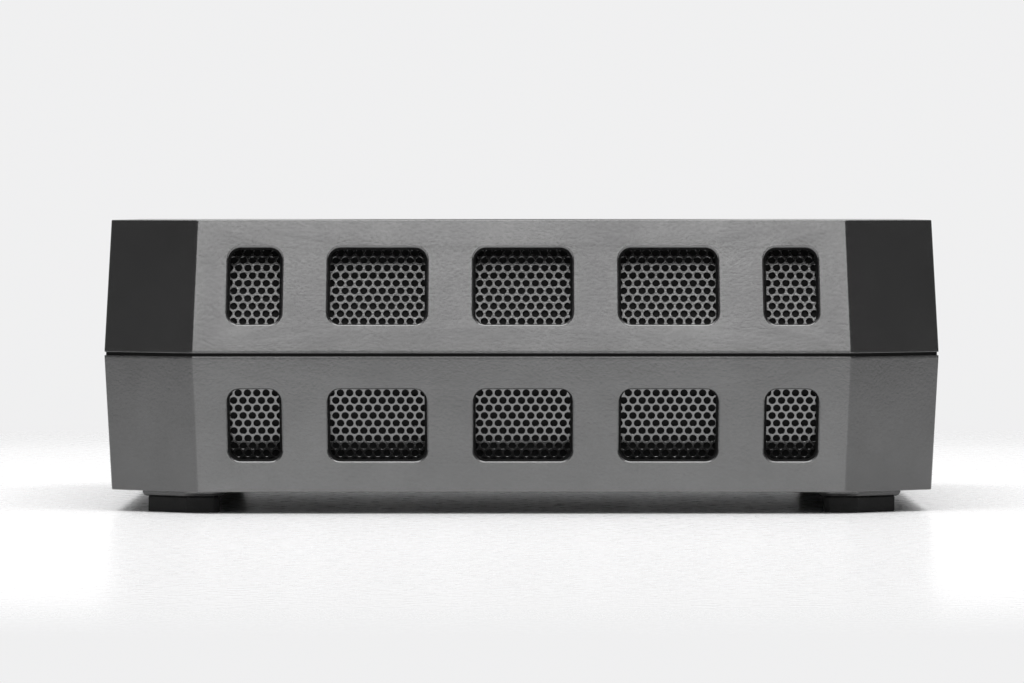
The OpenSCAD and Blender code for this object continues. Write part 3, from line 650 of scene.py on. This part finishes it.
def upper_shell():
    piece = Piece()
    openings = {side: window_row(side, WIN_UP) for side in (RIGHT, REAR, LEFT, FRONT)}
    cap, ceiling = tapered_shell(piece, ROOF_Z, TOP_Z, openings)
    piece.mat = 0
    profile = [
        (GRILLE_R + GRILLE_EDGE * (1 - sin), TOP_Z - GRILLE_EDGE * (1 - cos))
        for sin, cos in quarter_turn(3)
    ]
    profile += [(GRILLE_R, GRILLE_SEAT_Z), (INLET_R, GRILLE_SEAT_Z), (INLET_R, TOP_Z - WALL)]
    loops = [piece.loop([(x, y, z) for x, y in circle(r, steps=96)]) for r, z in profile]
    for a, b in zip(loops, loops[1:]):
        piece.strip(a, b)
    piece.fill([cap, loops[0]], (0, 0, 1))
    piece.mat = 1
    piece.fill([ceiling, loops[-1]], (0, 0, -1))
    for x, y in corner_places(*CASE_SCREW):
        tube_wall(piece, x, y, BOSS_R, INSERT_BORE_R, ROOF_Z, TOP_Z - WALL)
    # Material 1 is near-black and paints the shade inside the shell.
    paint_and_shade = [MATERIALS["shell_paint"], MATERIALS["inner_painted_shade"]]
    return piece.finish("upper_shell_skin", paint_and_shade, CASE, ["upper_shell"])


# Openings of the lower shell, written as those in window_row
FRONT_OPENING = (0.0, 20.05, 101.3, 16.5, 3.1)
REAR_OPENING = (0.0, 21.6, 140.0, 19.8, 2.0)

# Slots in the floor: width, length and pitch, how many lie on each side of the middle one, and the
# flat at their round ends
FLOOR_SLOT = (3.0, 44.0, 6.0)
SLOTS_EACH_SIDE = 4
SLOT_EDGE = 0.2
SLOT_FLAT = 0.02

# Bolt pattern in the floor: half its side, bore radius, and its bosses' radius and height
VESA_HALF = 37.5
VESA_R = 2.05
VESA_BOSS_R = 4.0
VESA_BOSS_RISE = 3.0
BORE_EDGE = 0.25


def floor_hole(piece, outline, low, high, edge):
    """A hole through the floor with a broken outer edge. outline(grow) gives its loop."""
    loops = []
    for grow, z in ((edge, low), (edge * 0.3, low + edge * 0.3), (0, low + edge), (0, high)):
        loops.append(piece.loop([(x, y, z) for x, y in outline(grow)]))
    for a, b in zip(loops, loops[1:]):
        piece.strip(a, b)
    return loops[0], loops[-1]


def lower_shell():
    piece = Piece()
    openings = {side: window_row(side, WIN_LOW) for side in (RIGHT, LEFT)}
    openings[FRONT] = [(FRONT_OPENING, (EDGE_FILLET, 0))]
    openings[REAR] = [(REAR_OPENING, (EDGE_FILLET, 0))]
    cap, floor = tapered_shell(piece, WAIST_Z, BOTTOM_Z, openings)
    top = BOTTOM_Z + WALL
    rims = []
    w, length, pitch = FLOOR_SLOT
    for i in range(-SLOTS_EACH_SIDE, SLOTS_EACH_SIDE + 1):
        def slot(grow, x=i * pitch):
            r = w / 2 + grow - SLOT_FLAT / 2
            return round_rectangle(w + 2 * grow, length + 2 * grow, r, x, 0, 6)
        rims.append(floor_hole(piece, slot, BOTTOM_Z, top, SLOT_EDGE))
    bores = [(VESA_R, x, y, 24) for x, y in corner_places(VESA_HALF, VESA_HALF)]
    bores += [(HEAD_BORE_R, x, y, 32) for x, y in corner_places(*CASE_SCREW)]
    for r, x, y, steps in bores:
        def bore(grow, r=r, x=x, y=y, steps=steps):
            return circle(r + grow, x, y, steps)
        rims.append(floor_hole(piece, bore, BOTTOM_Z, top, BORE_EDGE))
    piece.fill([cap] + [r[0] for r in rims], (0, 0, -1))
    piece.mat = 1
    piece.fill([floor] + [r[1] for r in rims], (0, 0, 1))
    for x, y in corner_places(VESA_HALF, VESA_HALF):
        tube_wall(piece, x, y, VESA_BOSS_R, VESA_R, top, top + VESA_BOSS_RISE)
    for x, y in corner_places(*CASE_SCREW):
        tube_wall(piece, x, y, BOSS_R, SCREW_BORE_R, top, WAIST_Z)
    # Material 1 is near-black and paints the shade inside the shell.
    paint_and_shade = [MATERIALS["shell_paint"], MATERIALS["inner_painted_shade"]]
    return piece.finish("lower_shell_skin", paint_and_shade, CASE, ["lower_shell"])


# Waist band: how far its outer and inner faces are set in from the outline, and its broken edge
BAND_OUTER = 0.35
BAND_INNER = 3.0
BAND_EDGE = 0.1


def waist_band():
    piece = Piece()

    def ring(d, z):
        return piece.loop([(x, y, z) for x, y in rounded(inset(octagon(), d), CORNER_R, 4)])

    outer = [
        ring(BAND_OUTER + BAND_EDGE, WAIST_Z), ring(BAND_OUTER, WAIST_Z + BAND_EDGE),
        ring(BAND_OUTER, ROOF_Z - BAND_EDGE), ring(BAND_OUTER + BAND_EDGE, ROOF_Z),
    ]
    inner = [ring(BAND_INNER, z) for z in (WAIST_Z, ROOF_Z)]
    for a, b in zip(outer, outer[1:]):
        piece.strip(a, b)
    piece.strip(inner[0], inner[1])
    piece.strip(outer[0], inner[0])
    piece.strip(outer[-1], inner[1])
    return piece.finish("waist_band_ring", [MATERIALS["band_black"]], CASE, ["waist_band"])


# ---------------------------------------------------------------- perforated sheets

def sheet_place(side, upper):
    """Turns sheet coordinates (along, up the sheet, depth) into a point of the row frame."""
    (nx, ny), (tx, ty) = side_direction(side)
    reach = HALF_W if side in (RIGHT, LEFT) else HALF_D
    start = ROOF_Z + SHEET_START
    foot = reach * body_scale(start) - SHEET_GAP
    sin, cos = math.sin(SHEET_TILT), math.cos(SHEET_TILT)
    mirror = WAIST_Z + ROOF_Z

    def place(u, v, d):
        out = foot - v * sin - d * cos
        z = start + v * cos - d * sin
        if not upper:
            z = mirror - z
        return (nx * out + tx * u, ny * out + ty * u, z)

    return place


def perforated_sheet(name, side, upper, first_row, stretch):
    """A sheet of hexagonal cells, each with a round hole, inside a plain border, with a near-black film
    behind it that paints the shade inside the body. first_row is the height of the first row of holes on
    the sheet."""
    steps = 12
    bevel = 0.06
    border = 0.3
    row_step = HOLE_PITCH * math.sin(math.pi / 3)
    length = SHEET_RISE / math.cos(SHEET_TILT)
    span = SHEET_SPAN * stretch
    rows = int((length - first_row - border) / row_step) + 1
    columns = int((span - HOLE_PITCH / 2) / HOLE_PITCH)
    place = sheet_place(side, upper)
    angles = [2 * math.pi * k / steps for k in range(steps)]
    sixth = math.pi / 3
    cell = [HOLE_PITCH / 2 / math.cos((a + sixth / 2) % sixth - sixth / 2) for a in angles]
    hole = [HOLE_R] * steps
    hole_edge = [HOLE_R + bevel] * steps
    rings = [(cell, 0), (hole_edge, 0), (hole, bevel), (hole, SHEET_T), (cell, SHEET_T)]

    piece = Piece()
    for r in range(rows):
        shift = (r % 2) / 2
        v = first_row + r * row_step
        for k in range(-columns, columns + 1 - (r % 2)):
            u = (k + shift) * HOLE_PITCH
            loops = [
                piece.loop([(u + q * math.cos(a), v + q * math.sin(a), d) for q, a in zip(radii, angles)])
                for radii, d in rings
            ]
            for a, b in zip(loops, loops[1:]):
                piece.strip(a, b)
    bmesh.ops.remove_doubles(piece.bm, verts=piece.bm.verts, dist=1e-3)
    open_edges = [e for e in piece.bm.edges if e.is_boundary]
    front_edge = [e for e in open_edges if e.verts[0].co.z < SHEET_T / 2]
    back_edge = [e for e in open_edges if e.verts[0].co.z > SHEET_T / 2]
    outline = round_rectangle(2 * span, length, SHEET_CORNER, 0.0, length / 2, 3)
    low = piece.loop([(x, y, 0) for x, y in outline])
    high = piece.loop([(v.co.x, v.co.y, SHEET_T) for v in low])
    piece.strip(low, high)
    for ring, edges in ((low, front_edge), (high, back_edge)):
        rim = [piece.bm.edges.get((ring[i - 1], ring[i])) for i in range(len(ring))]
        bmesh.ops.triangle_fill(piece.bm, use_beauty=True, use_dissolve=False, edges=edges + rim)
    # The film behind the sheet is near-black painted shade for the inside seen through the holes
    piece.mat = 1
    film = round_rectangle(
        2 * (span - FILM_MARGIN), length - 2 * FILM_MARGIN, SHEET_CORNER, 0.0, length / 2, 3)
    film_start = SHEET_T + FILM_GAP
    piece.stack([(film, film_start), (film, film_start + FILM_T)], upright)
    for v in piece.bm.verts:
        v.co = place(*v.co)
    paint_and_shade = [MATERIALS["sheet_paint"], MATERIALS["painted_shade_film"]]
    return piece.finish(name + "_sheet", paint_and_shade, CASE, [name], weighted=False)


def sheets():
    for name, side in (("side_mesh_upper_right", RIGHT), ("side_mesh_upper_left", LEFT)):
        perforated_sheet(name, side, True, FIRST_ROW_UP, 1.0)
    for name, side in (("side_mesh_lower_right", RIGHT), ("side_mesh_lower_left", LEFT)):
        perforated_sheet(name, side, False, FIRST_ROW_LOW, 1.0)
    for name, side in (("front_mesh", FRONT), ("rear_mesh", REAR)):
        perforated_sheet(name, side, True, FIRST_ROW_UP, END_STRETCH)


def fan_grille():
    """Round honeycomb cover over the fan."""
    cell = 5.6
    web = 0.9
    thickness = 1.0
    clearance = 0.15
    plain_rim = 6.5
    break_edge = 0.12
    reach = 8
    piece = Piece()
    low, high = GRILLE_SEAT_Z, GRILLE_SEAT_Z + thickness
    r = GRILLE_R - clearance
    rim = [(r, low), (r, high - break_edge), (r - break_edge, high)]
    bottom, side, top = [piece.loop([(x, y, z) for x, y in circle(q, steps=96)]) for q, z in rim]
    piece.strip(bottom, side)
    piece.strip(side, top)
    tops, bottoms = [top], [bottom]
    hexagon_r = (cell - web) / math.sqrt(3)
    for i in range(-reach, reach + 1):
        for j in range(-reach, reach + 1):
            x = cell * (i + j / 2)
            y = cell * j * math.sin(math.pi / 3)
            if math.hypot(x, y) >= GRILLE_R - plain_rim:
                continue
            corners = [math.radians(30 + 60 * k) for k in range(6)]
            hexagon = [(x + hexagon_r * math.cos(a), y + hexagon_r * math.sin(a)) for a in corners]
            hole = rounded(hexagon, 0.35, 2)
            hole_edge = rounded(inset(hexagon, -break_edge), 0.4, 2)
            outer = piece.loop([(px, py, high) for px, py in hole_edge])
            wall = piece.loop([(px, py, high - break_edge) for px, py in hole])
            foot = piece.loop([(px, py, low) for px, py in hole])
            piece.strip(outer, wall)
            piece.strip(wall, foot)
            tops.append(outer)
            bottoms.append(foot)
    piece.fill(tops, (0, 0, 1))
    piece.fill(bottoms, (0, 0, -1))
    return piece.finish("fan_grille_disc", [MATERIALS["grille_black"]], CASE, ["fan_grille"])


# ---------------------------------------------------------------- feet

# Feet: distance of their middles from the body's, and length, width and corner cut of a bracket
# and of a pad
FOOT_REACH = 105.0
BRACKET = (22.0, 12.0, 4.5)
PAD = (20.0, 10.0, 4.25)
PAD_CORNER = 0.6
PAD_EDGE = 0.3

# Levels of a bracket over the pad: how far it is set in, corner radius and height
BRACKET_LEVELS = [(0.9, 0.4, 0.0), (0.35, 0.5, 0.25), (0.0, 0.5, 0.8)]
BRACKET_CORNER = 0.5


def foot_outline(length, width, cut):
    """Rectangle with cut corners, length along y."""
    x, y = width / 2, length / 2
    return [
        (x, cut - y), (x, y - cut), (x - cut, y), (cut - x, y),
        (-x, y - cut), (-x, cut - y), (cut - x, -y), (x - cut, -y),
    ]


def foot_places():
    """One placing function for each foot, across its corner chamfer."""
    shift = (HALF_W - HALF_D) / math.sqrt(2)
    half = math.sqrt(0.5)
    for i in (1, -1):
        for j in (1, -1):
            def place(x, y, h, i=i, j=j):
                along, across = FOOT_REACH + x, y - shift
                return (i * half * (along - across), j * half * (along + across), h)
            yield place


def feet():
    pad_top = edges_mm("rubber_feet")[1][2]
    brackets = Piece()
    pads = Piece()
    bar = foot_outline(*BRACKET)
    pad = foot_outline(*PAD)
    rings = [(rounded(inset(bar, d), r, 3), pad_top + rise) for d, r, rise in BRACKET_LEVELS]
    rings.append((rounded(bar, BRACKET_CORNER, 3), BOTTOM_Z))
    for place in foot_places():
        brackets.stack(rings, place)
        pads.prism(pad, 0.0, pad_top, place, PAD_CORNER, PAD_EDGE)
    brackets.finish("foot_bracket_set", [MATERIALS["shell_paint"]], CASE, ["foot_brackets"])
    pads.finish("rubber_foot_set", [MATERIALS["foot_rubber"]], CASE, ["rubber_feet"])


# ---------------------------------------------------------------- CAD nodes that stay

# Nodes made of many small facets or of round tubes, which take no bevel
UNBEVELLED = {
    "front_cable", "fan_lead", "antenna_leads", "cooler_springs", "coin_cell", "heat_pipes",
    "side_mesh_upper_left", "side_mesh_upper_right", "side_mesh_lower_left", "side_mesh_lower_right",
    "front_mesh", "rear_mesh", "upper_shell", "lower_shell", "waist_band", "fan_grille",
    "foot_brackets", "rubber_feet",
}


def dress_cad_nodes():
    """Gives each CAD node that still shows the material of its slot and a small edge radius."""
    slots = {s["node"]: s["material_slot"] for s in frame["record"]["subparts"]}
    for name, obj in frame["nodes"].items():
        mat = MATERIALS[slots[name]]
        if obj.material_slots:
            for s in obj.material_slots:
                s.material = mat
        else:
            obj.data.materials.append(mat)
        if name in UNBEVELLED:
            continue
        weld = obj.modifiers.new("weld", "WELD")
        weld.merge_threshold = 0.001 * MM
        bevel = obj.modifiers.new("edge_radius", "BEVEL")
        bevel.limit_method = "ANGLE"
        bevel.angle_limit = math.radians(40)
        bevel.width = 0.1 * MM
        bevel.segments = 2
        bevel.harden_normals = True


# ---------------------------------------------------------------- stage, light and camera

# Table, in metres: radii at which it starts to fade and ends
TABLE_FADE = (0.42, 0.62)


def stage():
    """A pale round table that fades out at its edge, where the white surroundings take over."""
    bm = bmesh.new()
    bmesh.ops.create_circle(bm, cap_ends=True, radius=TABLE_FADE[1], segments=128)
    mesh = bpy.data.meshes.new("table_top")
    bm.to_mesh(mesh)
    bm.free()
    table = bpy.data.objects.new("table_top", mesh)
    bpy.context.scene.collection.objects.link(table)
    mat = new_material("table_white", (0.81, 0.81, 0.815), 0.28, 0.0, Specular_IOR_Level=0.08)
    n = Nodes(mat)
    soft = n.noise(300, detail=2)
    n.roughness(n.spread(soft, 0.26, 0.3))
    length = n.tree.nodes.new("ShaderNodeVectorMath")
    length.operation = "LENGTH"
    n.link(n.coords, length.inputs[0])
    fade = n.spread(length.outputs["Value"], 1.0, 0.0, TABLE_FADE[0], TABLE_FADE[1])
    n.link(fade, n.shader.inputs["Alpha"])
    mesh.materials.append(mat)


# Height over the table that the lights aim at, in metres
LIT_HEIGHT = 0.03


def softbox(name, azimuth, elevation, distance, size, radiance):
    """A rectangular light seen from the object in one direction, in degrees. Azimuth 0 is on the
    +X side. Distance and size are in metres. The camera never sees it, and glossy surfaces do."""
    light = bpy.data.lights.new(name, "AREA")
    light.shape = "RECTANGLE"
    light.size, light.size_y = size
    light.energy = radiance * math.pi * size[0] * size[1]
    obj = bpy.data.objects.new(name, light)
    a, e = math.radians(azimuth), math.radians(elevation)
    way = Vector((math.cos(e) * math.cos(a), math.cos(e) * math.sin(a), math.sin(e)))
    obj.location = way * distance + Vector((0, 0, LIT_HEIGHT))
    obj.rotation_euler = way.to_track_quat("Z", "Y").to_euler()
    obj.visible_camera = False
    bpy.context.scene.collection.objects.link(obj)
    return obj


WORLD_LIGHT = (0.14, 0.14, 0.14, 1)
WORLD_SEEN = (0.87, 0.87, 0.875, 1)


def world():
    """White to the camera. As light it is dim, so that the upper corner facets have something dark
    to reflect."""
    scene = bpy.context.scene
    w = bpy.data.worlds.new("studio")
    scene.world = w
    w.use_nodes = True
    tree = w.node_tree
    background = tree.nodes["Background"]
    background.inputs["Color"].default_value = WORLD_LIGHT
    background.inputs["Strength"].default_value = 1.0
    seen = tree.nodes.new("ShaderNodeBackground")
    seen.inputs["Color"].default_value = WORLD_SEEN
    path = tree.nodes.new("ShaderNodeLightPath")
    mix = tree.nodes.new("ShaderNodeMixShader")
    tree.links.new(path.outputs["Is Camera Ray"], mix.inputs[0])
    tree.links.new(background.outputs[0], mix.inputs[1])
    tree.links.new(seen.outputs[0], mix.inputs[2])
    tree.links.new(mix.outputs[0], tree.nodes["World Output"].inputs["Surface"])
    scene.view_settings.view_transform = "Standard"


def lights():
    softbox("overhead", azimuth=0, elevation=66, distance=1.7, size=(1.7, 1.0), radiance=5.6)
    softbox("key_low", azimuth=0, elevation=10, distance=3.0, size=(1.5, 0.6), radiance=2.9)
    softbox("key_high", azimuth=0, elevation=28, distance=2.6, size=(2.4, 0.5), radiance=3.2)
    softbox("back_wall", azimuth=180, elevation=5, distance=1.6, size=(2.0, 0.4), radiance=0.85)
    softbox("rear_fill", azimuth=180, elevation=40, distance=2.6, size=(2.6, 1.8), radiance=0.7)
    softbox("front_fill", azimuth=-90, elevation=58, distance=0.75, size=(0.5, 0.5), radiance=2.3)
    softbox("back_fill", azimuth=90, elevation=58, distance=0.75, size=(0.5, 0.5), radiance=2.3)


# Camera: distance from the near face and height over the table in metres, lens in millimetres, and
# how far it looks aside towards the rear and down, as slopes
CAMERA_DISTANCE = 1.85
CAMERA_HEIGHT = 0.0645
CAMERA_LENS = 309.4
LOOK_ASIDE = -0.00108
LOOK_DOWN = 0.01526


def camera():
    """Looks square at the right side from just above the level of the top."""
    cam = bpy.data.cameras.new("camera")
    cam.sensor_width = 36
    cam.lens = CAMERA_LENS
    near_face = HALF_W * TAPER * MM
    obj = bpy.data.objects.new("camera", cam)
    obj.location = (near_face + CAMERA_DISTANCE, 0, CAMERA_HEIGHT)
    look = Vector((-1, LOOK_ASIDE, -LOOK_DOWN))
    obj.rotation_euler = look.to_track_quat("-Z", "Y").to_euler()
    cam.clip_end = 50
    bpy.context.scene.collection.objects.link(obj)
    bpy.context.scene.camera = obj


camera()
dress_cad_nodes()
upper_shell()
lower_shell()
waist_band()
sheets()
fan_grille()
feet()
stage()
world()
lights()
